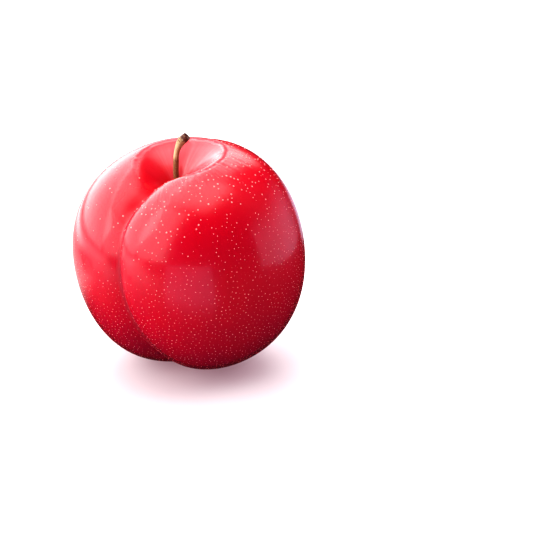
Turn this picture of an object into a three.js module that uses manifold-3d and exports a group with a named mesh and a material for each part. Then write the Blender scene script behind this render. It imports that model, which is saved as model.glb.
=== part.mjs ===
// A ripe red plum on its short stalk, resting on the small flat spot that its own weight presses.
// Millimetres, +Z up. The origin is the middle of the flat spot, on the table.
// +X is to the right and -Y faces the viewer; the suture looks down and to the left of them.

import * as THREE from 'three';
import { mergeVertices } from 'three/addons/utils/BufferGeometryUtils.js';
import Module from 'manifold-3d';

// ---------------------------------------------------------------- driving dimensions

// Body of the fruit, in its own axes: X from cheek to cheek, Y out to the suture, Z up the core.
const HALF_WIDTH = 31.7;
const HALF_DEPTH = 31.3;
const HALF_HEIGHT = 32.7;
const TIP_TAPER = 0.4; // how far the blossom end is drawn out
const SHOULDER_SQUARENESS = 1.05; // how far the two ends are pressed in and the shoulders left full
const CHEEK_SWELL = 0.5; // how much fuller the left cheek is than the right one

// Hollow round the stalk: a bowl with a soft lip, whose middle lies a little to one side of the stalk.
const HOLLOW_DEPTH = 7.5;
const HOLLOW_RADIUS = 12.2;
const HOLLOW_WALL = 1.85; // exponent of the bowl's section: 1 is a cone, 2 is a parabola
const HOLLOW_LIP = 0.35; // height of the rounded lip, as a share of the depth
const HOLLOW_OFFSET = [-2.36, -0.76];

// Suture: the crease that runs from the hollow down one side to the blossom end.
const SUTURE_DEPTH = 2.0;
const SUTURE_EXTRA_AT_STALK = 10.6;
const SUTURE_FADE_ANGLE = 30.9; // degrees down from the stalk over which that extra depth fades
const SUTURE_EXTRA_BELOW = 2.2;
const SUTURE_BELOW_ANGLE = 130;
const SUTURE_BELOW_SPREAD = 30;
const SUTURE_TIP_LOSS = 0.6; // share of the depth that is lost at the blossom end
const SUTURE_TIP_SPREAD = 18;
const SUTURE_WIDTH_AT_STALK = 5.2;
const SUTURE_WIDTH = 7.25;
const SUTURE_WIDENING_ANGLE = 40;
const SUTURE_ROUNDING = 0.25; // radius of the crease's bottom, as a share of its width
const SUTURE_SIDE_BLEND = 0.12; // how softly the suture ends as it crosses the core

// Faint crease that leaves the hollow on the far side from the suture.
const BACK_CREASE_DEPTH = 0.35;
const BACK_CREASE_WIDTH = 4;
const BACK_CREASE_ROUNDING = 0.4;
const BACK_CREASE_ANGLE = 30;
const BACK_CREASE_SPREAD = 25;

// How the fruit lies: turned about its core, then leaned, over the middle of its flat spot.
const CORE_TURN = -36.7;
const CORE_LEAN_FORWARD = 5.4;
const CORE_LEAN_LEFT = 9.8;
const CORE_CENTRE = new THREE.Vector3(0.3, -3.2, 30.7);

// Stalk: dry and thin, bent over near the top, with a knob where it broke from the twig.
const STALK_RADIUS = 0.72;
const STALK_FOOT_RADIUS = 1.0;
const STALK_KNOB_RADIUS = 1.17;
const STALK_TIP_RADIUS = 1.05;
const STALK_FOOT_REACH = 0.16; // shares of the whole length from here on
const STALK_KNOB_START = 0.74;
const STALK_KNOB_FULL = 0.92;
const STALK_ROOT = 1.6; // length that is seated in the flesh
const STALK_POINTS = [ // right, away and up from where it leaves the flesh
  [0, 0, 0],
  [-0.35, 0, 3.4],
  [-0.6, 0, 6.7],
  [-0.55, 0, 9.5],
  [-0.4, -0.1, 11.7],
  [-0.15, -0.1, 13],
  [0.25, -0.2, 14.1],
  [0.85, -0.2, 15.2],
  [1.6, -0.3, 16],
  [2.5, -0.4, 16.9],
];

const SEAT_GAP = 0.3; // play between the stalk and its seat
const SEAT_MOUTH = 4; // height above the foot to which the seat is kept open

// Fineness of the faceted surfaces.
const SKIN_RINGS = 48;
const SKIN_SEGMENTS = 64;
const SKIN_RING_CROWDING = 1.3; // above 1, rings crowd towards the stalk
const SKIN_SEGMENT_CROWDING = 0.6; // above 0, segments crowd towards the suture
const STALK_SIDES = 12;
const STALK_STEPS = 22;
const SEAT_SIDES = 20;

// Table slab that presses the flat spot.
const SLAB_SIDE = 80;
const SLAB_THICKNESS = 6;

const SKIN_FINISH = { color: 0xd0142c, roughness: 0.28, metalness: 0 };
const STALK_FINISH = { color: 0x8a7440, roughness: 0.85, metalness: 0 };

// ---------------------------------------------------------------- solids

const wasm = await Module();
wasm.setup();

/** Turns a closed geometry into a solid that can be cut. */
function toSolid(geometry) {
  const bare = geometry.clone();
  for (const name of ['normal', 'uv']) {
    bare.deleteAttribute(name);
  }
  const merged = mergeVertices(bare, 1e-4);
  const mesh = new wasm.Mesh({
    numProp: 3,
    vertProperties: new Float32Array(merged.getAttribute('position').array),
    triVerts: new Uint32Array(merged.index.array),
  });
  return new wasm.Manifold(mesh);
}

/** Turns a solid back into a geometry with smooth normals. */
function toGeometry(solid) {
  const mesh = solid.getMesh();
  const geometry = new THREE.BufferGeometry();
  geometry.setAttribute('position', new THREE.BufferAttribute(mesh.vertProperties, 3));
  geometry.setIndex(new THREE.BufferAttribute(mesh.triVerts, 1));
  geometry.computeVertexNormals();
  return geometry;
}

/** Moves every vertex of a geometry by a function that changes the vector it is given. */
function reshape(geometry, move) {
  const position = geometry.getAttribute('position');
  const point = new THREE.Vector3();
  for (let i = 0; i < position.count; i += 1) {
    point.fromBufferAttribute(position, i);
    move(point, i);
    position.setXYZ(i, point.x, point.y, point.z);
  }
  return geometry;
}

// ---------------------------------------------------------------- fruit

const { clamp, degToRad, lerp, radToDeg, smoothstep } = THREE.MathUtils;

/** Bell curve that is 1 at x = 0 and falls off over the spread. */
function bell(x, spread) {
  return Math.exp(-((x / spread) ** 2));
}

/** Section of a crease: 1 at its bottom, running out over the width, with a rounded bottom. */
function crease(across, width, rounding) {
  return Math.exp(rounding - Math.hypot(across / width, rounding));
}

/** The larger of two numbers, with a rounded change from one to the other. */
function softMax(a, b, softness) {
  const nearness = Math.max(softness - Math.abs(a - b), 0) / softness;
  return Math.max(a, b) + softness * nearness ** 3 / 6;
}

/** Depth of the hollow in the unit direction from the core's centre. */
function hollowDepth(direction) {
  const [x, y] = HOLLOW_OFFSET;
  const middle = new THREE.Vector3(x, y, HALF_DEPTH).normalize();
  const apart = direction.angleTo(middle) * HALF_DEPTH;
  return HOLLOW_DEPTH * softMax(1 - (apart / HOLLOW_RADIUS) ** HOLLOW_WALL, 0, HOLLOW_LIP);
}

/** Depth of the suture at its bottom, by the angle in degrees down from the stalk. */
function sutureDepth(down) {
  const depth = SUTURE_DEPTH
    + SUTURE_EXTRA_AT_STALK * bell(down, SUTURE_FADE_ANGLE)
    + SUTURE_EXTRA_BELOW * bell(down - SUTURE_BELOW_ANGLE, SUTURE_BELOW_SPREAD);
  return depth * (1 - SUTURE_TIP_LOSS * bell(180 - down, SUTURE_TIP_SPREAD));
}

/** Depth of the suture and of the faint crease behind the hollow. */
function creaseDepth(direction, down) {
  const across = Math.abs(direction.x) * HALF_DEPTH;
  const front = 1 / (1 + Math.exp(-direction.y / SUTURE_SIDE_BLEND));
  const width = lerp(SUTURE_WIDTH, SUTURE_WIDTH_AT_STALK, bell(down, SUTURE_WIDENING_ANGLE));
  const suture = sutureDepth(down) * crease(across, width, SUTURE_ROUNDING) * front;
  const behind = BACK_CREASE_DEPTH * bell(down - BACK_CREASE_ANGLE, BACK_CREASE_SPREAD)
    * crease(across, BACK_CREASE_WIDTH, BACK_CREASE_ROUNDING) * (1 - front);
  return suture + behind;
}

/** How far the rounded body stands out from a plain ellipsoid, before any hollow or crease. */
function bodySwell(direction) {
  const z = direction.z;
  const taper = (5 * z ** 3 - 3 * z) / 2;
  const squareness = (35 * z ** 4 - 30 * z ** 2 + 3) / 8;
  return CHEEK_SWELL * direction.x - TIP_TAPER * taper - SHOULDER_SQUARENESS * squareness;
}

/** Point of the skin, in the fruit's own axes, in the unit direction from the core's centre. */
function skinPoint(direction) {
  const down = radToDeg(Math.acos(clamp(direction.z, -1, 1)));
  const relief = bodySwell(direction) - hollowDepth(direction) - creaseDepth(direction, down);
  const scale = 1 + relief / HALF_DEPTH;
  return new THREE.Vector3(HALF_WIDTH, HALF_DEPTH, HALF_HEIGHT).multiply(direction).multiplyScalar(scale);
}

/** Matrix that takes the fruit's own axes to how it lies on the table. */
function lyingPose() {
  const turn = degToRad(CORE_TURN);
  const toSuture = new THREE.Vector3(Math.sin(turn), -Math.cos(turn), 0);
  const upCore = new THREE.Vector3(0, 0, 1);
  const acrossCheeks = new THREE.Vector3().crossVectors(toSuture, upCore);
  const turned = new THREE.Matrix4().makeBasis(acrossCheeks, toSuture, upCore);
  return new THREE.Matrix4()
    .setPosition(CORE_CENTRE)
    .multiply(new THREE.Matrix4().makeRotationY(degToRad(-CORE_LEAN_LEFT)))
    .multiply(new THREE.Matrix4().makeRotationX(degToRad(CORE_LEAN_FORWARD)))
    .multiply(turned);
}

/** The whole skin as a closed sphere grid, with more rings and segments where the skin is creased. */
function skinGeometry() {
  const geometry = new THREE.SphereGeometry(1, SKIN_SEGMENTS, SKIN_RINGS);
  const uv = geometry.getAttribute('uv');
  const direction = new THREE.Vector3();
  return reshape(geometry, (point, i) => {
    const down = Math.PI * (1 - uv.getY(i)) ** SKIN_RING_CROWDING;
    const even = Math.PI * (1 - 2 * uv.getX(i));
    const around = even - SKIN_SEGMENT_CROWDING * Math.sin(even);
    direction.set(Math.sin(down) * Math.sin(around), Math.sin(down) * Math.cos(around), Math.cos(down));
    point.copy(skinPoint(direction));
  });
}

// ---------------------------------------------------------------- stalk

/** Line that the stalk follows, from the end of its root to its broken tip, on the given foot. */
function stalkLine(foot) {
  const points = [[0, 0, -STALK_ROOT], ...STALK_POINTS];
  return new THREE.CatmullRomCurve3(points.map((point) => new THREE.Vector3(...point).add(foot)));
}

/** Radius of the stalk at a share of its length. */
function stalkRadius(share) {
  const foot = (STALK_FOOT_RADIUS - STALK_RADIUS) * bell(share, STALK_FOOT_REACH);
  const knob = (STALK_KNOB_RADIUS - STALK_RADIUS) * smoothstep(share, STALK_KNOB_START, STALK_KNOB_FULL);
  const tip = (STALK_KNOB_RADIUS - STALK_TIP_RADIUS) * smoothstep(share, STALK_KNOB_FULL, 1);
  return STALK_RADIUS + foot + knob - tip;
}

/** Round bar along the line, drawn in or swollen at each step to the stalk's radius there. */
function stalkGeometry(line) {
  const section = new THREE.Shape().absarc(0, 0, 1, 0, 2 * Math.PI);
  const geometry = new THREE.ExtrudeGeometry(section, {
    steps: STALK_STEPS,
    curveSegments: STALK_SIDES / 2, // three.js gives a full circle two points for each of these
    extrudePath: line,
    bevelEnabled: false,
  });
  const spine = line.getSpacedPoints(STALK_STEPS);
  return reshape(geometry, (point) => {
    const distances = spine.map((centre) => centre.distanceTo(point));
    const step = distances.indexOf(Math.min(...distances));
    point.sub(spine[step]).multiplyScalar(stalkRadius(step / STALK_STEPS)).add(spine[step]);
  });
}

// ---------------------------------------------------------------- assembly

const pose = lyingPose();
const foot = skinPoint(new THREE.Vector3(0, 0, 1)).applyMatrix4(pose);

/** Slab of table under the fruit. */
function slabGeometry() {
  return new THREE.BoxGeometry(SLAB_SIDE, SLAB_SIDE, SLAB_THICKNESS).translate(0, 0, -SLAB_THICKNESS / 2);
}

/** Round seat that the stalk's root stands in. */
function seatGeometry() {
  const radius = STALK_FOOT_RADIUS + SEAT_GAP;
  const depth = STALK_ROOT + SEAT_GAP;
  return new THREE.CylinderGeometry(radius, radius, depth + SEAT_MOUTH, SEAT_SIDES)
    .rotateX(Math.PI / 2)
    .translate(foot.x, foot.y, foot.z + (SEAT_MOUTH - depth) / 2);
}

/** One named piece of the plum. */
function piece(name, solid, finish) {
  const mesh = new THREE.Mesh(toGeometry(solid), new THREE.MeshStandardMaterial(finish));
  mesh.name = name;
  return mesh;
}

const skin = toSolid(skinGeometry().applyMatrix4(pose));
const fruit = skin.subtract(toSolid(slabGeometry())).subtract(toSolid(seatGeometry()));
const stalk = toSolid(stalkGeometry(stalkLine(foot)));

const plum = new THREE.Group();
plum.name = 'plum';
plum.add(piece('fruit', fruit, SKIN_FINISH), piece('stalk', stalk, STALK_FINISH));

export default plum;
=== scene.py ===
"""A ripe red plum on its short stalk, dressed and lit on a pale studio table.

The fruit's skin, its pale dots and its stalk are grown by Geometry Nodes trees from the sizes
below. Sizes are in millimetres and angles in degrees, and meshes are handed over in metres.
"""

import logging
import math
from dataclasses import dataclass, fields
from enum import Enum
from typing import ClassVar, Mapping, Union

import bpy
from mathutils import Matrix, Vector


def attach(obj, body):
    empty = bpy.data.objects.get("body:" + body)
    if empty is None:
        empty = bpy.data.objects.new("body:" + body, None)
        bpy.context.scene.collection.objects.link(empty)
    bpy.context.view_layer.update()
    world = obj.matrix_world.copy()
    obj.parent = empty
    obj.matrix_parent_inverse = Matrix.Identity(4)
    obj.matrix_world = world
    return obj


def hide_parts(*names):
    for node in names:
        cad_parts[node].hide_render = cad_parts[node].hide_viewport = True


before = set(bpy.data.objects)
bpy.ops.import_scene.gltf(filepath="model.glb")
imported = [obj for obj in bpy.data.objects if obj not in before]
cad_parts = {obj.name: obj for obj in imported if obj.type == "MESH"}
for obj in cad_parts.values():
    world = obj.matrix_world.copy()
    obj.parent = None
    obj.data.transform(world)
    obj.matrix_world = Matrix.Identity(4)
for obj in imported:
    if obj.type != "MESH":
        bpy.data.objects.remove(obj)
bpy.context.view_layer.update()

LOG = logging.getLogger("plum")
MM = 0.001
ROOT_BODY = "root"

Colour = tuple[float, float, float]
Range = tuple[float, float]
Settings = Mapping[str, object]
Sockets = Mapping[str | int, object]

WHITE: Colour = (1.0, 1.0, 1.0)


class Slot(Enum):
    """Material slots of the record."""

    SKIN = "skin"
    STALK = "stalk"


class Blend(Enum):
    """Ways in which one colour is laid over another."""

    COVER = "MIX"
    MULTIPLY = "MULTIPLY"


# ---------------------------------------------------------------- node expressions


class Wire:
    """An output socket of a node tree that takes part in Python expressions."""

    def __init__(self, graph: "Graph", socket: bpy.types.NodeSocket) -> None:
        """Keep the socket and the graph that it belongs to.

        Args:
            graph: The graph that new nodes are added to.
            socket: The output socket.
        """
        self.graph = graph
        self.socket = socket

    def __add__(self, other: "Value") -> "Wire":
        """Return self + other."""
        return self.graph.math("ADD", self, other)

    def __radd__(self, other: "Value") -> "Wire":
        """Return other + self."""
        return self.graph.math("ADD", other, self)

    def __sub__(self, other: "Value") -> "Wire":
        """Return self - other."""
        return self.graph.math("SUBTRACT", self, other)

    def __rsub__(self, other: "Value") -> "Wire":
        """Return other - self."""
        return self.graph.math("SUBTRACT", other, self)

    def __mul__(self, other: "Value") -> "Wire":
        """Return self * other."""
        return self.graph.math("MULTIPLY", self, other)

    def __rmul__(self, other: "Value") -> "Wire":
        """Return other * self."""
        return self.graph.math("MULTIPLY", other, self)

    def __truediv__(self, other: "Value") -> "Wire":
        """Return self / other."""
        return self.graph.math("DIVIDE", self, other)

    def __rtruediv__(self, other: "Value") -> "Wire":
        """Return other / self."""
        return self.graph.math("DIVIDE", other, self)

    def __pow__(self, other: "Value") -> "Wire":
        """Return self to the power other."""
        return self.graph.math("POWER", self, other)

    def __neg__(self) -> "Wire":
        """Return self with its sign changed."""
        return self.graph.math("MULTIPLY", self, -1.0)

    def __abs__(self) -> "Wire":
        """Return the size of self."""
        return self.graph.math("ABSOLUTE", self)


Value = Union[Wire, float]


class Graph:
    """Adds nodes to one tree, for a material or for Geometry Nodes."""

    def __init__(self, tree: bpy.types.NodeTree) -> None:
        """Start from an existing tree.

        Args:
            tree: The tree that nodes are added to.
        """
        self.tree = tree

    def node(
        self,
        kind: str,
        settings: Settings | None = None,
        sockets: Sockets | None = None,
    ) -> bpy.types.Node:
        """Add a node, set it up, then fill its sockets.

        Args:
            kind: The node's type name.
            settings: Properties that are set first, such as a Math node's operation.
            sockets: A value or a Wire for each input, by name or by place.

        Returns:
            The new node.
        """
        made = self.tree.nodes.new(kind)
        for name, value in (settings or {}).items():
            setattr(made, name, value)
        for key, value in (sockets or {}).items():
            if isinstance(value, Wire):
                self.tree.links.new(value.socket, made.inputs[key])
            else:
                made.inputs[key].default_value = value
        return made

    def take(
        self,
        kind: str,
        settings: Settings | None = None,
        sockets: Sockets | None = None,
        output: str | int = 0,
    ) -> Wire:
        """Add a node as `node` does and return one of its outputs.

        Args:
            kind: The node's type name.
            settings: Properties that are set first.
            sockets: A value or a Wire for each input.
            output: Name or place of the output that is wanted.

        Returns:
            That output, ready for expressions.
        """
        return Wire(self, self.node(kind, settings, sockets).outputs[output])

    def math(self, operation: str, *values: Value) -> Wire:
        """Return the result of one Math node on one to three values."""
        return self.take("ShaderNodeMath", {"operation": operation}, dict(enumerate(values)))

    def clamp(self, value: Value, low: float = 0.0, high: float = 1.0) -> Wire:
        """Return the value held between two limits."""
        return self.take("ShaderNodeClamp", None, {"Value": value, "Min": low, "Max": high})

    def step(self, value: Value, start: Value, end: Value) -> Wire:
        """Return 0 before start, 1 after end and a smooth rise between; start may be the larger."""
        sockets = {"Value": value, "From Min": start, "From Max": end}
        return self.take("ShaderNodeMapRange", {"interpolation_type": "SMOOTHSTEP"}, sockets)

    def bell(self, value: Value, spread: Value) -> Wire:
        """Return 1 where the value is 0, falling off over the spread."""
        return self.math("EXPONENT", -((abs(value) / spread) ** 2))

    def vector(self, x: Value, y: Value, z: Value) -> Wire:
        """Return the vector with the three given parts."""
        return self.take("ShaderNodeCombineXYZ", None, {0: x, 1: y, 2: z})

    def parts(self, vector: Wire) -> tuple[Wire, Wire, Wire]:
        """Return the three parts of a vector."""
        split = self.node("ShaderNodeSeparateXYZ", None, {0: vector})
        return tuple(Wire(self, socket) for socket in split.outputs)

    def scaled(self, vector: Wire, scale: Value) -> Wire:
        """Return the vector multiplied by a number."""
        return self.take("ShaderNodeVectorMath", {"operation": "SCALE"}, {0: vector, "Scale": scale})

    def moved(self, vector: Wire, offset: object) -> Wire:
        """Return the sum of two vectors."""
        return self.take("ShaderNodeVectorMath", {"operation": "ADD"}, {0: vector, 1: offset})

    def noise(self, vector: Wire, scale: Value, detail: float = 2.0, roughness: float = 0.5) -> Wire:
        """Return smooth noise around 0, between about -0.5 and 0.5."""
        sockets = {"Vector": vector, "Scale": scale, "Detail": detail, "Roughness": roughness}
        return self.take("ShaderNodeTexNoise", None, sockets, "Fac") - 0.5

    def mix(self, share: Value, under: object, over: object, blend: Blend = Blend.COVER) -> Wire:
        """Lay one colour over another.

        Args:
            share: How much of the upper colour shows.
            under: Lower colour, as four numbers or a Wire.
            over: Upper colour, as four numbers or a Wire.
            blend: How the two are put together.

        Returns:
            The resulting colour.
        """
        settings = {"data_type": "RGBA", "blend_type": blend.value, "clamp_factor": True}
        return self.take("ShaderNodeMix", settings, {0: share, 6: under, 7: over}, 2)


class Paint(Graph):
    """The graph of a new material."""

    def __init__(self, name: str) -> None:
        """Make the material, empty.

        Args:
            name: Name of the material.
        """
        self.material = bpy.data.materials.new(name)
        self.material.use_nodes = True
        self.material.node_tree.nodes.clear()
        super().__init__(self.material.node_tree)

    def place(self) -> Wire:
        """Return the position on the piece, in millimetres."""
        return self.scaled(self.take("ShaderNodeTexCoord", None, None, "Object"), 1 / MM)

    def attribute(self, name: str, output: str = "Fac") -> Wire:
        """Return a named attribute of the mesh."""
        return self.take("ShaderNodeAttribute", {"attribute_name": name}, None, output)

    def surface(self, sockets: Sockets) -> bpy.types.Material:
        """Give the material its surface.

        Args:
            sockets: A value or a Wire for each input of its shader that is set.

        Returns:
            The finished material.
        """
        shader = self.take("ShaderNodeBsdfPrincipled", None, sockets)
        self.node("ShaderNodeOutputMaterial", None, {"Surface": shader})
        return self.material


def opaque(colour: Colour) -> tuple[float, float, float, float]:
    """Return a colour with full cover."""
    return (*colour, 1.0)


# ---------------------------------------------------------------- making meshes from trees


class Tree(Graph):
    """A Geometry Nodes tree whose sizes are named inputs."""

    def __init__(self, name: str, sizes: Mapping[str, float]) -> None:
        """Make the tree with its geometry sockets and one input for each size.

        Args:
            name: Name of the tree.
            sizes: Value of each size, by its name.
        """
        super().__init__(bpy.data.node_groups.new(name, "GeometryNodeTree"))
        interface = self.tree.interface
        interface.new_socket("Geometry", in_out="INPUT", socket_type="NodeSocketGeometry")
        interface.new_socket("Geometry", in_out="OUTPUT", socket_type="NodeSocketGeometry")
        self.sizes = dict(sizes)
        self.identifiers = {}
        for label in sizes:
            socket = interface.new_socket(label, in_out="INPUT", socket_type="NodeSocketFloat")
            self.identifiers[label] = socket.identifier
        self.entry = self.node("NodeGroupInput")

    @property
    def geometry(self) -> Wire:
        """The geometry that comes into the tree."""
        return Wire(self, self.entry.outputs[0])

    def size(self, label: str) -> Wire:
        """Return the named size as a Wire."""
        return Wire(self, self.entry.outputs[label])

    def store(self, geometry: Wire, values: Mapping[str, Wire]) -> Wire:
        """Keep values on the points of a geometry.

        Args:
            geometry: The geometry.
            values: Each value, by the name that it is kept under.

        Returns:
            The geometry with its new attributes.
        """
        for name, value in values.items():
            kind = "FLOAT_VECTOR" if value.socket.type == "VECTOR" else "FLOAT"
            settings = {"data_type": kind, "domain": "POINT"}
            sockets = {"Geometry": geometry, "Name": name, "Value": value}
            geometry = self.take("GeometryNodeStoreNamedAttribute", settings, sockets)
        return geometry

    def recall(self, name: str, data_type: str = "FLOAT") -> Wire:
        """Return a value that was kept on the points under a name."""
        return self.take("GeometryNodeInputNamedAttribute", {"data_type": data_type}, {"Name": name})

    def finish(self, geometry: Wire, material: bpy.types.Material) -> None:
        """Shade the geometry smooth, make it real, give it its material and send it out.

        Args:
            geometry: The finished geometry.
            material: The material that it is given.
        """
        smooth = self.take("GeometryNodeSetShadeSmooth", None, {"Geometry": geometry})
        real = self.take("GeometryNodeRealizeInstances", None, {"Geometry": smooth})
        coated = self.take("GeometryNodeSetMaterial", None, {"Geometry": real, "Material": material})
        self.node("NodeGroupOutput", None, {0: coated})

    def grow(self, name: str, start: bpy.types.ID) -> bpy.types.Object:
        """Run the tree on a mesh or curve and keep its result as a plain mesh object.

        Args:
            name: Name of the finished object.
            start: Mesh or curve data that the tree starts from.

        Returns:
            The finished object, at the origin and without modifiers.
        """
        carrier = bpy.data.objects.new(name + "_carrier", start)
        bpy.context.scene.collection.objects.link(carrier)
        modifier = carrier.modifiers.new("Grow", "NODES")
        modifier.node_group = self.tree
        for label, identifier in self.identifiers.items():
            modifier[identifier] = self.sizes[label]
        bpy.context.view_layer.update()
        evaluated = carrier.evaluated_get(bpy.context.evaluated_depsgraph_get())
        mesh = bpy.data.meshes.new_from_object(evaluated)
        mesh.name = name
        carrier.modifiers.remove(modifier)
        bpy.data.objects.remove(carrier)
        made = bpy.data.objects.new(name, mesh)
        bpy.context.scene.collection.objects.link(made)
        return made


def sizes_of(part: object) -> dict[str, float]:
    """Return the number fields of a dataclass under labels such as "Hollow Depth"."""
    numbers = {f.name: getattr(part, f.name) for f in fields(part)}
    return {n.replace("_", " ").title(): float(v) for n, v in numbers.items() if isinstance(v, float)}


def settle(piece: bpy.types.Object, slot: Slot, *nodes: str) -> None:
    """Fix a finished piece to the part's body and hide the CAD solids that it stands for.

    Args:
        piece: The finished piece.
        slot: The record's material slot; not used.
        *nodes: CAD nodes that the piece replaces.
    """
    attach(piece, ROOT_BODY)
    if nodes:
        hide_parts(*nodes)


# ---------------------------------------------------------------- finishes


@dataclass(frozen=True)
class SkinFinish:
    """Taut, waxy red skin that deepens to crimson towards the blossom end, partly as its own colour and
    partly as painted shade of its underside. It carries painted shade in its hollow and creases and a
    painted highlight on the hollow's far wall.

    Shares of the way down run from 0 at the stalk to 1 at the blossom end.
    """

    red: Colour = (0.53, 0.0010, 0.016)
    # painted shade: darker red laid deep in the hollow
    scarlet: Colour = (0.46, 0.0010, 0.016)
    # crimson of the blossom end: partly the skin's own colour, partly painted shade of the underside
    crimson: Colour = (0.238, 0.0010, 0.024)
    # painted shade: darker red on the rim's line, the suture's bottom and the ripples' troughs
    wine: Colour = (0.26, 0.0010, 0.018)
    # painted highlight: pale pink reflection of the lights on the hollow's far wall
    bloom: Colour = (0.80, 0.34, 0.38)
    speck: Colour = (0.80, 0.06, 0.08)
    scar: Colour = (0.16, 0.07, 0.03)
    roughness: float = 0.25
    dull_roughness: float = 0.5
    coat: float = 0.50
    coat_roughness: float = 0.08
    ior: float = 1.40
    flesh_share: float = 0.18
    flesh_colour: Colour = (1.0, 0.16, 0.12)
    flesh_depth: float = 2.2
    # deepening towards the blossom end, partly painted shade of the underside
    first_deepening: Range = (0.20, 0.42)
    second_deepening: Range = (0.45, 0.82)
    first_share: float = 0.40
    mottling: float = 0.45
    # shares of the painted shade in the hollow, the painted highlight on its far wall and the painted
    # shade in creases
    scarlet_share: float = 0.75
    bloom_share: float = 0.13
    crease_shade_share: float = 0.90
    speck_share: float = 0.12
    # where the painted highlight lies on the hollow's far wall, and how its streaks vary it
    wall_edge: Range = (0.02, 0.30)
    far_side: Range = (0.0, -6.0)
    bloom_streaks: Range = (0.3, 1.7)
    speck_edge: Range = (0.30, 0.12)
    speck_pick: Range = (0.35, 0.6)
    scar_edge: Range = (0.988, 0.996)
    pore_height: float = 0.20

    def build(self) -> bpy.types.Material:
        """Make the material.

        Returns:
            The skin material.
        """
        g = Paint("plum_skin")
        place = g.place()
        dull = g.attribute("dull")
        sockets = {
            "Base Color": self._colour(g, place),
            "Roughness": self.roughness + 0.10 * g.noise(place, 0.35, 3.0) + self.dull_roughness * dull,
            "IOR": self.ior,
            "Coat Weight": self.coat * (1 - dull),
            "Coat Roughness": self.coat_roughness,
            "Coat IOR": self.ior,
            "Subsurface Weight": self.flesh_share,
            "Subsurface Radius": self.flesh_colour,
            "Subsurface Scale": self.flesh_depth * MM,
            "Normal": self._pores(g, place),
        }
        return g.surface(sockets)

    def _colour(self, g: Paint, place: Wire) -> Wire:
        """Return the skin's colour.

        Args:
            g: The material's graph.
            place: Position on the fruit in millimetres.

        Returns:
            The colour, with mottling, streaks and fine specks, painted shade towards the blossom end, in
            the hollow and in creases, and a painted highlight on the hollow's far wall.
        """
        down = g.attribute("down")
        hollow = g.attribute("hollow")
        around = g.attribute("around", "Vector")
        mottle = g.noise(place, 0.09, 3.0)
        streak = g.noise(around, 1.0, 2.0)
        # painted shade: the deepening towards the blossom end is partly painted shade of the underside
        first = self.first_share * g.step(down, *self.first_deepening)
        second = (1 - self.first_share) * g.step(down, *self.second_deepening)
        ripeness_and_shade = g.clamp(first + second + self.mottling * mottle)
        colour = g.mix(ripeness_and_shade, opaque(self.red), opaque(self.crimson))
        # painted shade: darker red deep in the hollow
        colour = g.mix(self.scarlet_share * hollow, colour, opaque(self.scarlet))
        shade = 1 + 0.16 * mottle + 0.10 * streak
        colour = g.mix(1.0, colour, g.vector(shade, shade, shade), Blend.MULTIPLY)
        # painted highlight: pale streaked reflection on the hollow's far wall
        lit_far_wall = g.step(hollow, *self.wall_edge) * g.step(g.parts(around)[1], *self.far_side)
        painted_wall_highlight = self.bloom_share * lit_far_wall * g.clamp(1 + 2 * streak, *self.bloom_streaks)
        colour = g.mix(painted_wall_highlight, colour, opaque(self.bloom))
        # painted shade: darker red on the rim's line, in the suture and between ripples
        colour = g.mix(self.crease_shade_share * g.attribute("crease"), colour, opaque(self.wine))
        speckled = self.speck_share * self._specks(g, place) * (1 - hollow)
        colour = g.mix(speckled, colour, opaque(self.speck))
        return g.mix(g.step(down, *self.scar_edge), colour, opaque(self.scar))

    def _specks(self, g: Paint, place: Wire) -> Wire:
        """Return a mask of the finest pale specks, too small to stand out as dots.

        Args:
            g: The material's graph.
            place: Position on the fruit in millimetres.

        Returns:
            1 at the middle of a speck and 0 outside it.
        """
        sockets = {"Vector": place, "Scale": 1.25, "Randomness": 1.0}
        cell = g.node("ShaderNodeTexVoronoi", {"feature": "F1"}, sockets)
        pick = g.parts(Wire(g, cell.outputs["Color"]))[0]
        inside = g.step(Wire(g, cell.outputs["Distance"]), *self.speck_edge)
        return inside * g.step(pick, *self.speck_pick)

    def _pores(self, g: Paint, place: Wire) -> Wire:
        """Return the normal of the skin with its faint orange-peel relief.

        Args:
            g: The material's graph.
            place: Position on the fruit in millimetres.

        Returns:
            The normal.
        """
        height = g.noise(place, 1.1, 3.0) + 0.5 * g.noise(place, 4.0, 2.0)
        sockets = {"Strength": 0.10, "Distance": self.pore_height * MM, "Height": height}
        return g.take("ShaderNodeBump", None, sockets)


@dataclass(frozen=True)
class DotFinish:
    """Pale corky dots of the skin, painted paler towards the stalk, where more light falls on them:
    painted light.
    """

    pale: Colour = (0.86, 0.36, 0.33)
    rosy: Colour = (0.66, 0.10, 0.12)
    roughness: float = 0.5
    coat: float = 0.4
    coat_roughness: float = 0.15
    ior: float = 1.40
    paleness: float = 0.45
    # painted light: extra paleness of the dots towards the stalk, where more light falls
    painted_light_above: float = 0.35
    upper_edge: Range = (0.45, 0.25)
    unevenness: float = 1.4

    def build(self) -> bpy.types.Material:
        """Make the material.

        Returns:
            The material of the dots.
        """
        g = Paint("plum_dots")
        # painted light: dots towards the stalk are painted paler
        upper = g.step(g.attribute("down"), *self.upper_edge)
        uneven = self.unevenness * g.noise(g.place(), 0.6, 1.0)
        tone = g.clamp(self.paleness + self.painted_light_above * upper + uneven)
        sockets = {
            "Base Color": g.mix(tone, opaque(self.rosy), opaque(self.pale)),
            "Roughness": self.roughness,
            "IOR": self.ior,
            "Coat Weight": self.coat,
            "Coat Roughness": self.coat_roughness,
        }
        return g.surface(sockets)


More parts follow.
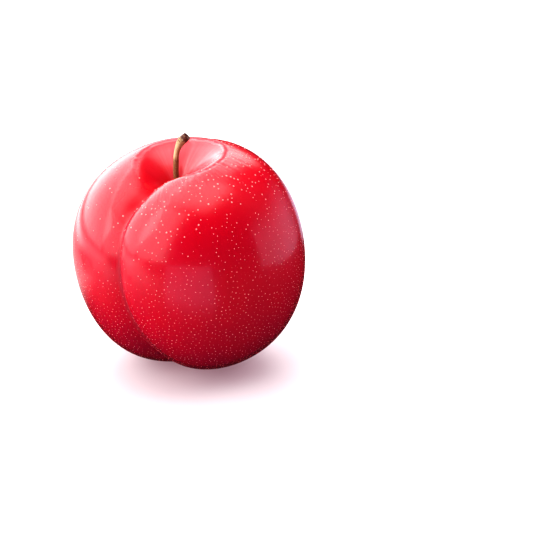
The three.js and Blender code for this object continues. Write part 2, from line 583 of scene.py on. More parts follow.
@dataclass(frozen=True)
class StalkFinish:
    """Dry stalk: brown below, cream and tan at its bend, speckled and dark at its broken end. The bark
    that faces left, towards the key light, is painted lighter: painted light.

    Ranges along the stalk run from 0 at its root to 1 at its broken end.
    """

    cream: Colour = (0.60, 0.48, 0.28)
    tan: Colour = (0.42, 0.25, 0.10)
    brown: Colour = (0.23, 0.115, 0.045)
    umber: Colour = (0.105, 0.046, 0.019)
    maroon: Colour = (0.070, 0.010, 0.008)
    roughness: float = 0.72
    foot: Range = (0.20, 0.08)
    bend: Range = (0.60, 0.70)
    speckled: Range = (0.83, 0.90)
    broken: Range = (0.91, 0.95)
    dark_blotch: Range = (-0.05, -0.16)
    bark_height: float = 0.15

    def build(self) -> bpy.types.Material:
        """Make the material.

        Returns:
            The material of the stalk.
        """
        g = Paint("plum_stalk")
        fibre = g.noise(g.attribute("round_about", "Vector"), 1.0, 3.0, 0.6)
        blotch = g.noise(g.place(), 2.4, 3.0, 0.65)
        sockets = {
            "Base Color": self._colour(g, fibre, blotch),
            "Roughness": self.roughness + 0.2 * blotch,
            "Normal": self._bark(g, fibre, blotch),
        }
        return g.surface(sockets)

    def _colour(self, g: Paint, fibre: Wire, blotch: Wire) -> Wire:
        """Return the stalk's colour.

        Args:
            g: The material's graph.
            fibre: Noise drawn out along the stalk.
            blotch: Even noise.

        Returns:
            The colour along and round the stalk.
        """
        along = g.attribute("along")
        # painted light: the bark that faces left, towards the key light, is painted lighter
        sunny = g.clamp(0.55 + 0.45 * g.attribute("sunny") + 1.2 * fibre)
        low = g.mix(sunny, opaque(self.umber), opaque(self.brown))
        low = g.mix(g.clamp(0.15 + 2.0 * fibre + 3.0 * blotch) * sunny, low, opaque(self.tan))
        high = g.mix(sunny, opaque(self.brown), opaque(self.cream))
        high = g.mix(g.clamp(3.0 * blotch - 0.05), high, opaque(self.tan))
        colour = g.mix(g.step(along + 0.12 * fibre, *self.bend), low, high)
        colour = g.mix(0.55 * g.step(blotch, *self.dark_blotch), colour, opaque(self.umber))
        speckled = g.step(along + 0.10 * blotch, *self.speckled)
        colour = g.mix(speckled * g.step(blotch, -0.06, 0.06), colour, opaque(self.brown))
        end = g.step(along + 0.14 * blotch, *self.broken)
        colour = g.mix(end * g.step(blotch, 0.16, 0.04), colour, opaque(self.maroon))
        return g.mix(0.7 * g.step(along, *self.foot), colour, opaque(self.umber))

    def _bark(self, g: Paint, fibre: Wire, blotch: Wire) -> Wire:
        """Return the normal of the stalk's dry, fibrous bark."""
        sockets = {"Strength": 0.6, "Distance": self.bark_height * MM, "Height": fibre + 0.8 * blotch}
        return g.take("ShaderNodeBump", None, sockets)


# ---------------------------------------------------------------- fruit


class SkinTree(Tree):
    """The tree that swells an even ball into the skin. Its named sizes are the fruit's.

    A point is known by its direction from the core: x across the cheeks, y towards the suture
    and z up to the stalk. `degrees` is its angle down from the stalk, and `sine` and `cosine`
    are those of its angle round from the suture. `across` is its distance from the suture's
    plane and `apart` its distance over the skin from the hollow's middle, in millimetres.
    """

    SUTURE_SIDE: Range = (0.0, 0.2)  # of y, over which the suture's painted shade and its dulling fade in
    RIM_SIDE: Range = (0.75, 0.35)  # of cosine, over which the rim's line fades in
    RIM_BREAKS: Range = (-0.30, -0.05)  # of noise, over which the rim's line leaves off
    LINE_START: Range = (50.0, 75.0)  # degrees over which the suture's painted dark line of shade fades in
    LINE_END: Range = (178.0, 165.0)  # and those over which it fades out
    RIPPLE_SIDE: Range = (0.15, -0.35)  # of x, over which the ripples reach their full height
    RIPPLE_TROUGH: Range = (-0.06, -0.18)  # of ripples, over which their troughs are painted darker as shade

    def __init__(self, sizes: Mapping[str, float]) -> None:
        """Work out where each point of the ball lies.

        Args:
            sizes: The fruit's sizes, by label.
        """
        super().__init__("plum_skin", sizes)
        x, y, z = self.parts(self.take("GeometryNodeInputPosition"))
        even_down = self.math("ARCCOSINE", self.clamp(z, -1.0, 1.0))
        even_round = self.math("ARCTAN2", x, y)
        down = math.pi * (even_down / math.pi) ** self.size("Ring Crowding")
        around = even_round - self.size("Segment Crowding") * self.math("SINE", even_round)
        outward = self.math("SINE", down)
        self.sine, self.cosine = self.math("SINE", around), self.math("COSINE", around)
        self.x, self.y, self.z = outward * self.sine, outward * self.cosine, self.math("COSINE", down)
        self.degrees = self.math("DEGREES", down)
        self.across = self.x * self.size("Half Depth")
        self.apart = self._apart()
        self.hollow = self._hollow()
        self.rim = self._rim()
        self.ripples = self._ripples()

    def ray(self, reach: Value, fall: Value) -> Wire:
        """Return a vector that turns round the core, for noise that is drawn out downwards."""
        return self.vector(reach * self.sine, reach * self.cosine, fall)

    def streaks(self) -> Wire:
        """Return the vector that the skin's streaks follow."""
        return self.ray(self.size("Streak Reach"), self.degrees / self.size("Streak Length"))

    def _apart(self) -> Wire:
        """Return the distance over the skin from the hollow's middle.

        Returns:
            The distance in millimetres.
        """
        offset_x, offset_y = self.size("Hollow Offset X"), self.size("Hollow Offset Y")
        deep = self.size("Half Depth")
        length = self.math("SQRT", offset_x * offset_x + offset_y * offset_y + deep * deep)
        cosine = (self.x * offset_x + self.y * offset_y + self.z * deep) / length
        return self.math("ARCCOSINE", self.clamp(cosine, -1.0, 1.0)) * deep

    def _hollow(self) -> Wire:
        """Return how deep a point lies in the hollow, from 0 to 1."""
        bowl = 1 - (self.apart / self.size("Hollow Radius")) ** self.size("Hollow Wall")
        return self.math("SMOOTH_MAX", bowl, 0.0, self.size("Hollow Lip"))

    def _rim(self) -> Wire:
        """Return the fine broken line that edges the hollow, away from the suture.

        Returns:
            1 on the line and 0 off it.
        """
        wander = self.ray(self.size("Rim Reach Round"), 0.0)
        line = self.apart - self.size("Rim Radius") - self.size("Rim Wander") * self.noise(wander, 1.0)
        away = self.step(self.cosine, *self.RIM_SIDE)
        broken = self.step(self.noise(self.scaled(wander, 2.5), 1.0, 1.0), *self.RIM_BREAKS)
        return self.bell(line, self.size("Rim Width")) * away * broken

    def _ripples(self) -> Wire:
        """Return fine ripples that run down the shoulder, strongest on its right.

        Returns:
            The ripples, around 0.
        """
        rays = self.ray(self.size("Ripple Reach"), self.degrees / self.size("Ripple Length"))
        left = self.size("Ripple Left Share")
        shoulder = self.bell(self.degrees - self.size("Ripple Angle"), self.size("Ripple Spread"))
        strength = shoulder * (left + (1 - left) * self.step(self.x, *self.RIPPLE_SIDE))
        return strength * self.noise(rays, 1.0, 2.5, 0.6)

    def crease_shade(self) -> Wire:
        """Return the painted shade: how far the skin is painted darker on the rim's line, in the suture
        and between ripples.

        Returns:
            The share of the painted shade's darker colour, from 0 to 1.
        """
        bottom = self.bell(self.across, self.size("Line Width")) * self.step(self.y, *self.SUTURE_SIDE)
        open_part = self.step(self.degrees, *self.LINE_START) * self.step(self.degrees, *self.LINE_END)
        edges = self.math("MAXIMUM", self.rim, self.size("Line Tint") * bottom * open_part)
        troughs = self.size("Ripple Shade") * self.step(self.ripples, *self.RIPPLE_TROUGH)
        return self.math("MAXIMUM", edges, troughs)

    def dulling(self, crease: Wire) -> Wire:
        """Return how far the skin lacks its wax, on dark creases and on the suture's left bank.

        Args:
            crease: Share of the painted shade's darker colour.

        Returns:
            The loss of gloss, from 0 to 1.
        """
        bank = self.bell(self.across - self.size("Bank Offset"), self.size("Bank Width"))
        side = self.step(self.y, *self.SUTURE_SIDE)
        return self.math("MAXIMUM", crease, bank * side * self._mouth())

    def _mouth(self) -> Wire:
        """Return 1 where the suture opens into the hollow, falling off above and below it."""
        return self.bell(self.degrees - self.size("Seam Extra Angle"), self.size("Seam Extra Spread"))

    def _swell(self) -> Wire:
        """Return how far the body stands out from a plain ellipsoid.

        Returns:
            The height in millimetres: fuller at one cheek, drawn out at the tip, square shouldered.
        """
        z = self.z
        taper = (5 * z * z * z - 3 * z) / 2
        square = z * z
        squareness = (35 * square * square - 30 * square + 3) / 8
        body = self.size("Cheek Swell") * self.x - self.size("Tip Taper") * taper
        return body - self.size("Shoulder Squareness") * squareness

    def _creases(self) -> Wire:
        """Return the depth of the suture and of the faint crease opposite.

        Returns:
            The depth in millimetres.
        """
        size, bell, degrees = self.size, self.bell, self.degrees
        front = 1 / (1 + self.math("EXPONENT", -self.y / size("Suture Side Blend")))
        narrowing = size("Suture Width At Stalk") - size("Suture Width")
        width = size("Suture Width") + narrowing * bell(degrees, size("Suture Widening Angle"))
        below = bell(degrees - size("Suture Below Angle"), size("Suture Below Spread"))
        tip = bell(180 - degrees, size("Suture Tip Spread"))
        depth = (
            size("Suture Depth")
            + size("Suture Extra At Stalk") * bell(degrees, size("Suture Fade Angle"))
            + size("Suture Extra Below") * below
        ) * (1 - size("Suture Tip Loss") * tip)
        trough = depth * self._section(abs(self.across), width, size("Suture Rounding"))
        suture = (trough + self._seam() * (1 - tip)) * front
        behind = bell(degrees - size("Back Crease Angle"), size("Back Crease Spread"))
        crease = (size("Back Crease Width"), size("Back Crease Rounding"))
        section = self._section(abs(self.across), *crease)
        return suture + size("Back Crease Depth") * behind * section * (1 - front)

    def _seam(self) -> Wire:
        """Return the depth of the fine seam along the suture, steeper on its right-hand lobe.

        Returns:
            The depth in millimetres.
        """
        left = self.math("MAXIMUM", self.across, 0.0) / self.size("Seam Width Left")
        right = self.math("MAXIMUM", -self.across, 0.0) / self.size("Seam Width Right")
        start = 1 - self.bell(self.degrees, self.size("Seam Start Angle"))
        depth = self.size("Seam Depth") * start + self.size("Seam Extra") * self._mouth()
        return depth * self._section(left + right, 1.0, self.size("Seam Rounding"))

    def _section(self, across: Wire, width: Value, rounding: Wire) -> Wire:
        """Return the section of a crease: 1 at its bottom, running out over the width."""
        share = across / width
        return self.math("EXPONENT", rounding - self.math("SQRT", share * share + rounding * rounding))

    def _fine_relief(self) -> Wire:
        """Return the skin's small unevenness.

        Returns:
            The height in millimetres of shallow dimples, ripples and the blossom end's scar.
        """
        direction = self.vector(self.x, self.y, self.z)
        dimples = 2 * self.size("Dimple Height") * self.noise(direction, self.size("Dimple Scale"))
        scar = self.size("Scar Depth") * self.bell(180 - self.degrees, self.size("Scar Spread"))
        return dimples + 2 * self.size("Ripple Height") * self.ripples - scar

    def point(self) -> Wire:
        """Return where each point of the skin ends up.

        Returns:
            The place in metres, on the table.
        """
        relief = self._swell() - self.size("Hollow Depth") * self.hollow
        relief = relief - self._creases() - self.size("Rim Depth") * self.rim + self._fine_relief()
        swell = 1 + relief / self.size("Half Depth")
        upright = self.vector(
            self.size("Half Width") * swell * self.x,
            self.size("Half Depth") * swell * self.y,
            self.size("Half Height") * swell * self.z,
        )
        return self._lain(upright)

    def _lain(self, point: Wire) -> Wire:
        """Lay a point of the upright fruit down on the table, which presses it flat below.

        Args:
            point: The point, in millimetres from the core.

        Returns:
            Its place in metres.
        """
        turns = (
            ("Z_AXIS", 180 + self.size("Core Turn")),
            ("X_AXIS", self.size("Core Lean Forward")),
            ("Y_AXIS", -self.size("Core Lean Left")),
        )
        for axis, angle in turns:
            sockets = {"Vector": point, "Angle": self.math("RADIANS", angle)}
            point = self.take("ShaderNodeVectorRotate", {"rotation_type": axis}, sockets)
        core = self.vector(self.size("Core Right"), self.size("Core Away"), self.size("Core Up"))
        x, y, z = self.parts(self.moved(point, core))
        flat = self.math("SMOOTH_MAX", z, 0.0, self.size("Flat Softness"))
        return self.scaled(self.vector(x, y, flat), MM)


@dataclass
class Fruit:
    """The fruit, whose skin follows a formula in the two angles at its core."""

    half_width: float = 31.7
    half_depth: float = 31.3
    half_height: float = 32.7
    tip_taper: float = 0.4
    shoulder_squareness: float = 1.05
    cheek_swell: float = 0.5
    hollow_depth: float = 7.5
    hollow_radius: float = 12.2
    hollow_wall: float = 1.85
    hollow_lip: float = 0.35
    hollow_offset_x: float = -2.36
    hollow_offset_y: float = -0.76
    suture_depth: float = 2.0
    suture_extra_at_stalk: float = 10.6
    suture_fade_angle: float = 30.9
    suture_extra_below: float = 2.2
    suture_below_angle: float = 130.0
    suture_below_spread: float = 30.0
    suture_tip_loss: float = 0.6
    suture_tip_spread: float = 18.0
    suture_width_at_stalk: float = 5.2
    suture_width: float = 7.25
    suture_widening_angle: float = 40.0
    suture_rounding: float = 0.25
    suture_side_blend: float = 0.12
    rim_radius: float = 13.1
    rim_width: float = 0.60
    rim_depth: float = 0.07
    rim_wander: float = 1.8
    rim_reach_round: float = 4.0
    seam_depth: float = 1.1
    seam_width_right: float = 1.3
    seam_width_left: float = 3.5
    seam_rounding: float = 0.15
    seam_start_angle: float = 32.0
    seam_extra: float = 1.1
    seam_extra_angle: float = 38.0
    seam_extra_spread: float = 9.0
    back_crease_depth: float = 0.35
    back_crease_width: float = 4.0
    back_crease_rounding: float = 0.4
    back_crease_angle: float = 30.0
    back_crease_spread: float = 25.0
    core_turn: float = -36.7
    core_lean_forward: float = 5.4
    core_lean_left: float = 9.8
    core_right: float = 0.3
    core_away: float = -3.2
    core_up: float = 30.7
    ripple_height: float = 0.17
    ripple_angle: float = 33.0
    ripple_spread: float = 11.0
    ripple_left_share: float = 0.25
    ripple_reach: float = 30.0
    ripple_length: float = 16.0
    # strength of the painted shade in the ripples' troughs
    ripple_shade: float = 0.40
    # width and strength of the painted shade along the suture's bottom
    line_width: float = 0.7
    line_tint: float = 0.8
    bank_offset: float = 1.7
    bank_width: float = 1.8
    streak_reach: float = 9.0
    streak_length: float = 25.0
    dimple_height: float = 0.03
    dimple_scale: float = 5.0
    scar_depth: float = 0.25
    scar_spread: float = 1.6
    flat_softness: float = 0.12
    ring_crowding: float = 1.3
    segment_crowding: float = 0.6
    rings: int = 300
    segments: int = 320

    @property
    def core(self) -> Vector:
        """The middle of the fruit, in metres."""
        return Vector((self.core_right, self.core_away, self.core_up)) * MM

    def make(self) -> bpy.types.Object:
        """Make the skin and fix it to the part.

        Returns:
            The skin object.
        """
        skin = self.grow(SkinFinish().build())
        settle(skin, Slot.SKIN, "fruit")
        return skin

    def grow(self, material: bpy.types.Material) -> bpy.types.Object:
        """Grow the skin from an even ball.

        Args:
            material: The material of the skin.

        Returns:
            The skin as a closed mesh. Its points keep "down" and "hollow", each from 0 to 1, the
            vector "around" that its streaks follow, the share "crease" of painted shade and the share
            "dull".
        """
        tree = SkinTree(sizes_of(self))
        ball_sockets = {"Segments": self.segments, "Rings": self.rings, "Radius": 1.0}
        ball = tree.take("GeometryNodeMeshUVSphere", None, ball_sockets, "Mesh")
        # painted shade: the skin's darkening on the rim's line, in the suture and between ripples
        crease = tree.crease_shade()
        values = {
            "down": tree.degrees / 180,
            "hollow": tree.hollow,
            "around": tree.streaks(),
            "crease": crease,
            "dull": tree.dulling(crease),
        }
        sockets = {"Geometry": tree.store(ball, values), "Position": tree.point()}
        tree.finish(tree.take("GeometryNodeSetPosition", None, sockets), material)
        return tree.grow("plum_skin", bpy.data.meshes.new("plum_skin_start"))

    @staticmethod
    def stalk_foot(skin: bpy.types.Object) -> Vector:
        """Return where the stalk leaves the flesh, at the pole of the skin.

        Args:
            skin: The finished skin.

        Returns:
            The place in metres.
        """
        down = skin.data.attributes["down"].data
        pole = min(skin.data.vertices, key=lambda vertex: down[vertex.index].value)
        return pole.co.copy()


@dataclass
class Dots:
    """Pale corky dots strewn over the skin: fine and thick below, larger and sparse above."""

    radius: float = 0.21
    height: float = 0.05
    taper: float = 0.5
    smallest: float = 0.45
    largest: float = 1.25
    lower_size: float = 0.78
    upper_extra_size: float = 0.60
    spacing: float = 0.95
    upper_left_share: float = 0.08
    upper_right_extra: float = 0.34
    right_edge: Range = (1.0, -4.0)
    lower_edge: Range = (0.28, 0.60)
    upper_edge: Range = (0.42, 0.25)
    hollow_edge: Range = (0.10, 0.02)
    table_edge: Range = (0.3, 1.2)
    sides: int = 7
    seed: int = 11
    TRIES: ClassVar[float] = 1.6  # dots tried on a square of one spacing

    def make(self, skin: bpy.types.Object) -> bpy.types.Object:
        """Make the dots and fix them to the part.

        Args:
            skin: The finished skin.

        Returns:
            The dots as one object.
        """
        dots = self.grow(skin, DotFinish().build())
        settle(dots, Slot.SKIN)
        return dots

    def grow(self, skin: bpy.types.Object, material: bpy.types.Material) -> bpy.types.Object:
        """Strew small raised dots over the skin.

        Args:
            skin: The finished skin.
            material: The material of the dots.

        Returns:
            All dots as one mesh.
        """
        tree = Tree("plum_dots", sizes_of(self))
        down = tree.recall("down")
        sockets = {
            "Mesh": tree.geometry,
            "Distance Min": tree.size("Spacing") * MM,
            "Density Max": self.TRIES / (self.spacing * MM) ** 2,
            "Density Factor": self._share(tree, down),
            "Seed": self.seed,
        }
        settings = {"distribute_method": "POISSON"}
        scatter = tree.node("GeometryNodeDistributePointsOnFaces", settings, sockets)
        spread = {2: tree.size("Smallest"), 3: tree.size("Largest"), "Seed": self.seed + 1}
        random = tree.take("FunctionNodeRandomValue", {"data_type": "FLOAT"}, spread, 1)
        extra = tree.size("Upper Extra Size") * tree.step(down, *self.upper_edge)
        scale = random * (tree.size("Lower Size") + extra)
        strewn = {
            "Points": Wire(tree, scatter.outputs["Points"]),
            "Instance": self._dot(tree),
            "Rotation": Wire(tree, scatter.outputs["Rotation"]),
            "Scale": tree.scaled(tree.vector(1.0, 1.0, 1.0), scale),
        }
        tree.finish(tree.take("GeometryNodeInstanceOnPoints", None, strewn), material)
        return tree.grow("plum_dots", skin.data)

    def _share(self, tree: Tree, down: Wire) -> Wire:
        """Return how many of the dots are kept: few on the upper left and none in the hollow.

        Args:
            tree: The dots' tree.
            down: Share of the way down from the stalk.

        Returns:
            The share, from 0 to 1.
        """
        side = tree.parts(tree.recall("around", "FLOAT_VECTOR"))[0]
        right = tree.size("Upper Right Extra") * tree.step(side, *self.right_edge)
        upper = tree.size("Upper Left Share") + right
        share = upper + (1 - upper) * tree.step(down, *self.lower_edge)
        share = share * tree.step(tree.recall("hollow"), *self.hollow_edge)
        height = tree.parts(tree.take("GeometryNodeInputPosition"))[2]
        return share * tree.step(height, *(edge * MM for edge in self.table_edge))

    def _dot(self, tree: Tree) -> Wire:
        """Return one dot: a low blunt cone that is sunk by half of its depth.

        Args:
            tree: The dots' tree.

        Returns:
            The dot's mesh.
        """
        radius, height = tree.size("Radius"), tree.size("Height")
        sockets = {
            "Vertices": self.sides,
            "Radius Top": radius * (tree.size("Taper") * MM),
            "Radius Bottom": radius * MM,
            "Depth": 2 * height * MM,
        }
        dot = tree.take("GeometryNodeMeshCone", {"fill_type": "NGON"}, sockets, "Mesh")
        sunk = {"Geometry": dot, "Translation": tree.vector(0.0, 0.0, -height * MM)}
        return tree.take("GeometryNodeTransform", None, sunk)


# ---------------------------------------------------------------- stalk


@dataclass
class Stalk:
    """The dry stalk, from the end of its root in the flesh to its broken end.

    Its points are given right, away and up from where it leaves the flesh.
    """

    radius: float = 0.72
    foot_radius: float = 1.0
    knob_radius: float = 1.17
    tip_radius: float = 1.05
    foot_reach: float = 0.16
    knob_start: float = 0.74
    knob_full: float = 0.92
    rib_depth: float = 0.10
    knot_depth: float = 0.10
    knot_scale: float = 0.45
    streak_turn: float = 3.5
    streak_length: float = 5.0
    break_bulge: float = 0.35
    break_relief: float = 0.5
    break_scale: float = 2.2
    end_cap: Range = (0.9999, 1.0)
    rings: int = 120
    sides: int = 40
    cap_rings: int = 6
    curve_steps: int = 24
    points: tuple[tuple[float, float, float], ...] = (
        (0.0, 0.0, -1.6),
        (0.0, 0.0, 0.0),
        (-0.35, 0.0, 3.4),
        (-0.6, 0.0, 6.7),
        (-0.55, 0.0, 9.5),
        (-0.4, -0.1, 11.7),
        (-0.15, -0.1, 13.0),
        (0.25, -0.2, 14.1),
        (0.85, -0.2, 15.2),
        (1.6, -0.3, 16.0),
        (2.5, -0.4, 16.9),
    )

    def make(self, foot: Vector) -> bpy.types.Object:
        """Make the stalk and fix it to the part.

        Args:
            foot: Where the stalk leaves the flesh, in metres.

        Returns:
            The stalk object.
        """
        stalk = self.grow(foot, StalkFinish().build())
        settle(stalk, Slot.STALK, "stalk")
        return stalk

    def line(self, foot: Vector) -> bpy.types.Curve:
        """Return the curve that the stalk follows.

        Args:
            foot: Where the stalk leaves the flesh, in metres.

        Returns:
            A curve through the stalk's points, from the end of its root.
        """
        curve = bpy.data.curves.new("plum_stalk_line", "CURVE")
        curve.dimensions = "3D"
        spline = curve.splines.new("BEZIER")
        spline.bezier_points.add(len(self.points) - 1)
        for bend, place in zip(spline.bezier_points, self.points):
            bend.co = foot + Vector(place) * MM
            bend.handle_left_type = "AUTO"
            bend.handle_right_type = "AUTO"
        spline.resolution_u = self.curve_steps
        return curve

    def grow(self, foot: Vector, material: bpy.types.Material) -> bpy.types.Object:
        """Bend a capped bar along the stalk's line and give it ribs, a knob and a broken end.

        Args:
            foot: Where the stalk leaves the flesh, in metres.
            material: The material of the stalk.

        Returns:
            The stalk as a closed mesh, with "along", "sunny" and "round_about" kept on its points.
        """
        tree = Tree("plum_stalk", sizes_of(self))
        bar_sockets = {
            "Vertices": self.sides,
            "Side Segments": self.rings,
            "Fill Segments": self.cap_rings,
            "Radius": 1.0,
            "Depth": 1.0,
        }
        bar = tree.take("GeometryNodeMeshCylinder", {"fill_type": "TRIANGLE_FAN"}, bar_sockets, "Mesh")
        x, y, z = tree.parts(tree.take("GeometryNodeInputPosition"))
        along = tree.clamp(z + 0.5)
        out = tree.math("SQRT", x * x + y * y)
        turn = tree.math("ARCTAN2", x, y)
        reach = tree.size("Streak Turn")
        streaks = tree.vector(
            reach * tree.math("SINE", turn),
            reach * tree.math("COSINE", turn),
            tree.size("Streak Length") * along,
        )
        radius = self._radius(tree, along, streaks)
        end = tree.step(along, *self.end_cap)
        splinters = tree.noise(tree.vector(x, y, 0.3), tree.size("Break Scale"), 3.0)
        bulge = tree.size("Break Bulge") * (1 - out * out)
        broken = bulge * end + tree.size("Break Relief") * end * splinters
        sample = tree.node(
            "GeometryNodeSampleCurve",
            {"mode": "FACTOR", "use_all_curves": True},
            {"Curves": tree.geometry, "Factor": along},
        )
        outputs = ("Position", "Tangent", "Normal")
        centre, tangent, normal = (Wire(tree, sample.outputs[name]) for name in outputs)
        cross = {"operation": "CROSS_PRODUCT"}
        binormal = tree.take("ShaderNodeVectorMath", cross, {0: tangent, 1: normal})
        place = tree.moved(centre, tree.scaled(normal, radius * x * MM))
        place = tree.moved(place, tree.scaled(binormal, radius * y * MM))
        place = tree.moved(place, tree.scaled(tangent, -1 * broken * MM))
        # painted light: how far the bark faces left, towards the key light, for its lighter painted side
        sunny = self._sunny(tree, normal, binormal, x, y)
        bar = tree.store(bar, {"along": along, "sunny": sunny, "round_about": streaks})
        bent = tree.take("GeometryNodeSetPosition", None, {"Geometry": bar, "Position": place})
        tree.finish(bent, material)
        return tree.grow("plum_stalk", self.line(foot))

    @staticmethod
    def _sunny(tree: Tree, normal: Wire, binormal: Wire, x: Wire, y: Wire) -> Wire:
        """Return how far the bark faces left, towards the key light, from -1 to 1; that side is painted
        lighter as painted light.
        """
        side = tree.moved(tree.scaled(normal, x), tree.scaled(binormal, y))
        return -tree.parts(side)[0]

    def _radius(self, tree: Tree, along: Wire, streaks: Wire) -> Wire:
        """Return the stalk's radius in millimetres, with its ribs and knots.

        Args:
            tree: The stalk's tree.
            along: Share of the length.
            streaks: Vector that runs round and along the stalk.

        Returns:
            The radius at each point.
        """
        slim = tree.size("Radius")
        foot = (tree.size("Foot Radius") - slim) * tree.bell(along, tree.size("Foot Reach"))
        rise = tree.step(along, tree.size("Knob Start"), tree.size("Knob Full"))
        fall = tree.step(along, tree.size("Knob Full"), 1.0)
        knob = (tree.size("Knob Radius") - slim) * rise
        tip = (tree.size("Knob Radius") - tree.size("Tip Radius")) * fall
        ribs = tree.size("Rib Depth") * tree.noise(streaks, 1.0, 2.0)
        knots = tree.size("Knot Depth") * tree.noise(streaks, tree.size("Knot Scale"), 1.0)
        return slim + foot + knob - tip + 2 * ribs + 2 * knots


# ---------------------------------------------------------------- studio

PINK: Colour = (1.6, 1.0, 1.5)
COOL: Colour = (1.0, 1.0, 1.3)


@dataclass(frozen=True)
class Softbox:
    """A flat diffused light that faces a point, placed by direction and distance from it.

    Its glow fades towards its edges over the given shares of its size, in the order: the side
    with the lower azimuth, the other side, the bottom or near edge, the top or far edge. A level
    light lies by its rise above the table, and one with a fan angle glows only within that many
    degrees either side of its azimuth, in full over the fan's core.
    """

    name: str
    azimuth: float
    elevation: float
    distance: float
    width: float
    height: float
    radiance: float
    fades: tuple[float, float, float, float] = (0.3, 0.3, 0.3, 0.3)
    tint: Colour = WHITE
    level: bool = False
    fan: float = 0.0
    fan_core: float = 0.85
    glossy: bool = True
    rise: float = 0.5

    def hang(self, target: Vector) -> None:
        """Hang the light, or lay it face up on the table if it is a level one.

        Args:
            target: The point that it faces, in metres.
        """
        lamp = bpy.data.lights.new(self.name, "AREA")
        lamp.shape = "RECTANGLE"
        lamp.size = self.width * MM
        lamp.size_y = self.height * MM
        lamp.energy = self.radiance * math.pi * lamp.size * lamp.size_y
        lamp.use_nodes = True
        lamp.node_tree.nodes.clear()
        g = Graph(lamp.node_tree)
        glow = self._glow(g)
        colour = g.vector(*(glow * share for share in self.tint))
        shine = g.take("ShaderNodeEmission", None, {"Color": colour})
        g.node("ShaderNodeOutputLight", None, {"Surface": shine})
        around, up = math.radians(self.azimuth), math.radians(self.elevation)
        outward = Vector((math.sin(around), -math.cos(around), 0.0))
        back = outward * math.cos(up) + Vector((0.0, 0.0, math.sin(up)))
        place = target + back * self.distance * MM
        turn = (-back).to_track_quat("-Z", "Y").to_matrix()
        if self.level:
            place.z = self.rise * MM
            below = Vector((0.0, 0.0, -1.0))
            turn = Matrix((outward.cross(below), outward, below)).transposed()
        light = bpy.data.objects.new(self.name, lamp)
        light.visible_camera = False
        light.visible_glossy = self.glossy
        light.matrix_world = Matrix.Translation(place) @ turn.to_4x4()
        bpy.context.scene.collection.objects.link(light)

    def _glow(self, g: Graph) -> Wire:
        """Return the light's glow, faded towards its edges.

        Args:
            g: The light's graph.

        Returns:
            The share of the full glow at each place of the light.
        """
        across, upward, _ = g.parts(g.take("ShaderNodeNewGeometry", None, None, "Parametric"))
        first, last, low, high = self.fades
        glow = g.step(across, 0.0, first) * g.step(across, 1.0, 1.0 - last)
        glow = glow * g.step(upward, 0.0, low) * g.step(upward, 1.0, 1.0 - high)
        return glow * self._fan_mask(g, across, upward) if self.fan else glow

    def _fan_mask(self, g: Graph, across: Wire, upward: Wire) -> Wire:
        """Return 1 inside the fan that opens from below the target and 0 outside it.

        Args:
            g: The light's graph.
            across: Place across the light, from 0 to 1.
            upward: Place along the light, from 0 at its near edge to 1 at its far one.

        Returns:
            The share of the glow at each place.
        """
        aside = (across - 0.5) * self.width
        ahead = (upward - 0.5) * self.height + self.distance
        angle = g.math("DEGREES", abs(g.math("ARCTAN2", aside, ahead)))
        return g.step(angle, self.fan, self.fan_core * self.fan)


@dataclass(frozen=True)
class TableFinish:
    """Pale matt table that glows faintly pink of its own, though it is no lamp: painted light that lifts
    its shadows and tints them pink.
    """

    white: float = 0.50
    glow: Colour = (0.23, 0.14, 0.165)
    grain: float = 0.01
    grain_scale: float = 0.04
    roughness: float = 0.6
    shine: float = 0.2

    def build(self) -> bpy.types.Material:
        """Make the material.

        Returns:
            The material of the table.
        """
        g = Paint("table_white")
        tone = self.white + self.grain * g.noise(g.place(), self.grain_scale)
        sockets = {
            "Base Color": g.vector(tone, tone, tone),
            "Roughness": self.roughness,
            "Specular IOR Level": self.shine,
            # painted light: the table's own pink glow lifts its shadows and tints them pink
            "Emission Color": opaque(self.glow),
            "Emission Strength": 1.0,
        }
        return g.surface(sockets)


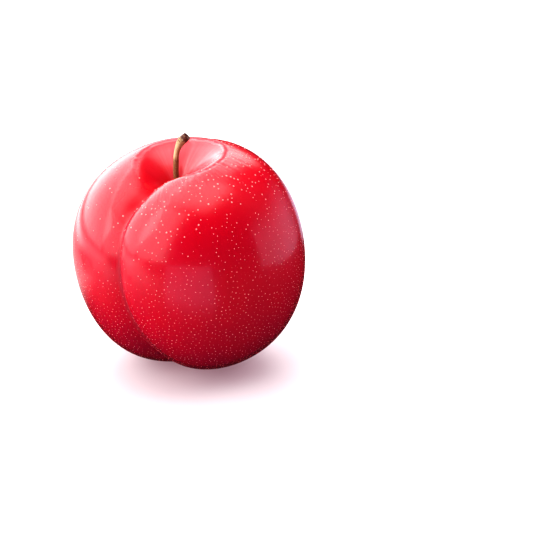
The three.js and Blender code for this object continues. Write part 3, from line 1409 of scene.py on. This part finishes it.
@dataclass
class Studio:
    """Pale table, soft lights and the camera."""

    frame_size: float = 533.0
    fruit_across: float = 191.2
    fruit_down: float = 255.0
    lens: float = 100.0
    sensor: float = 36.0
    view_distance: float = 400.0
    view_elevation: float = 20.0
    table_side: float = 6000.0
    table_drop: float = 0.1
    room: float = 0.012
    softboxes: tuple[Softbox, ...] = (
        Softbox("key_softbox", -122.0, 34.0, 700.0, 2300.0, 1000.0, 2.7, (0.30, 0.10, 0.12, 0.04)),
        Softbox("side_softbox", -44.0, 31.0, 700.0, 740.0, 900.0, 2.2, (0.20, 0.28, 0.10, 0.10)),
        Softbox("top_softbox", -20.0, 84.0, 800.0, 1150.0, 950.0, 2.7, (0.3, 0.3, 0.45, 0.3)),
        Softbox("back_softbox", 174.0, 45.0, 700.0, 640.0, 900.0, 2.4, (0.25, 0.35, 0.30, 0.30)),
        Softbox("low_strip", -110.0, -3.0, 150.0, 620.0, 44.0, 1.7, (0.10, 0.30, 0.50, 0.50)),
        Softbox("left_card", -66.0, 0.0, 212.0, 250.0, 364.0, 1.2, (0.35, 0.35, 0.35, 0.1), level=True),
        Softbox("back_card", -135.0, 0.0, 215.0, 260.0, 350.0, 0.6, (0.35, 0.35, 0.10, 0.1), level=True),
        Softbox(
            "front_card", 0.0, 0.0, 725.0, 1300.0, 1360.0, 0.62, (0.01, 0.01, 0.03, 0.005), PINK,
            level=True, fan=24.0,
        ),
        Softbox("right_panel", 105.0, 14.0, 113.0, 183.0, 96.0, 0.76, (0.03, 0.60, 0.05, 0.55), COOL),
        Softbox("rim_strip", 158.0, -5.0, 150.0, 84.0, 54.0, 0.7, (0.2, 0.2, 0.2, 0.4), COOL),
        Softbox("fill_softbox", 105.0, 48.0, 700.0, 800.0, 800.0, 3.0, glossy=False),
    )

    def make(self, core: Vector) -> None:
        """Lay the table, hang the lights and set up the camera.

        Args:
            core: The middle of the fruit, in metres.
        """
        self.place_camera(core)
        self.lay_table()
        for softbox in self.softboxes:
            softbox.hang(core)
        world = bpy.data.worlds.new("room")
        world.use_nodes = True
        backdrop = world.node_tree.nodes["Background"]
        backdrop.inputs["Color"].default_value = opaque(WHITE)
        backdrop.inputs["Strength"].default_value = self.room
        scene = bpy.context.scene
        scene.world = world
        scene.view_settings.view_transform = "Standard"
        scene.view_settings.look = "High Contrast"
        LOG.info("studio: %d lights", len(self.softboxes))

    def place_camera(self, core: Vector) -> None:
        """Aim the camera so that the fruit's core falls on its place in the frame.

        Args:
            core: The middle of the fruit, in metres.
        """
        down = math.radians(self.view_elevation)
        ahead = Vector((0.0, math.cos(down), -math.sin(down)))
        right = Vector((1.0, 0.0, 0.0))
        up = right.cross(ahead)
        per_pixel = self.view_distance * MM * self.sensor / (self.lens * self.frame_size)
        shift_right = (self.fruit_across - self.frame_size / 2) * per_pixel
        shift_up = (self.frame_size / 2 - self.fruit_down) * per_pixel
        place = core - ahead * self.view_distance * MM - right * shift_right - up * shift_up
        data = bpy.data.cameras.new("camera")
        data.lens = self.lens
        data.sensor_width = self.sensor
        data.clip_start = 0.01
        data.clip_end = 20.0
        camera = bpy.data.objects.new("camera", data)
        turn = Matrix((right, up, -ahead)).transposed()
        camera.matrix_world = Matrix.Translation(place) @ turn.to_4x4()
        bpy.context.scene.collection.objects.link(camera)
        bpy.context.scene.camera = camera

    def lay_table(self) -> None:
        """Lay the wide pale table under the fruit."""
        half, drop = self.table_side * MM / 2, -self.table_drop * MM
        corners = [(-half, -half, drop), (half, -half, drop), (half, half, drop), (-half, half, drop)]
        mesh = bpy.data.meshes.new("table")
        mesh.from_pydata(corners, [], [(0, 1, 2, 3)])
        table = bpy.data.objects.new("table", mesh)
        bpy.context.scene.collection.objects.link(table)
        mesh.materials.append(TableFinish().build())
        table.visible_glossy = False


def main() -> None:
    """Build the studio, the fruit, its dots and its stalk in that order, and report each piece."""
    logging.basicConfig(level=logging.INFO, format="%(name)s: %(message)s")
    fruit = Fruit()
    Studio().make(fruit.core)
    skin = fruit.make()
    dots = Dots().make(skin)
    stalk = Stalk().make(fruit.stalk_foot(skin))
    for piece in (skin, dots, stalk):
        LOG.info("%s: %d faces", piece.name, len(piece.data.polygons))


if __name__ == "__main__":
    main()
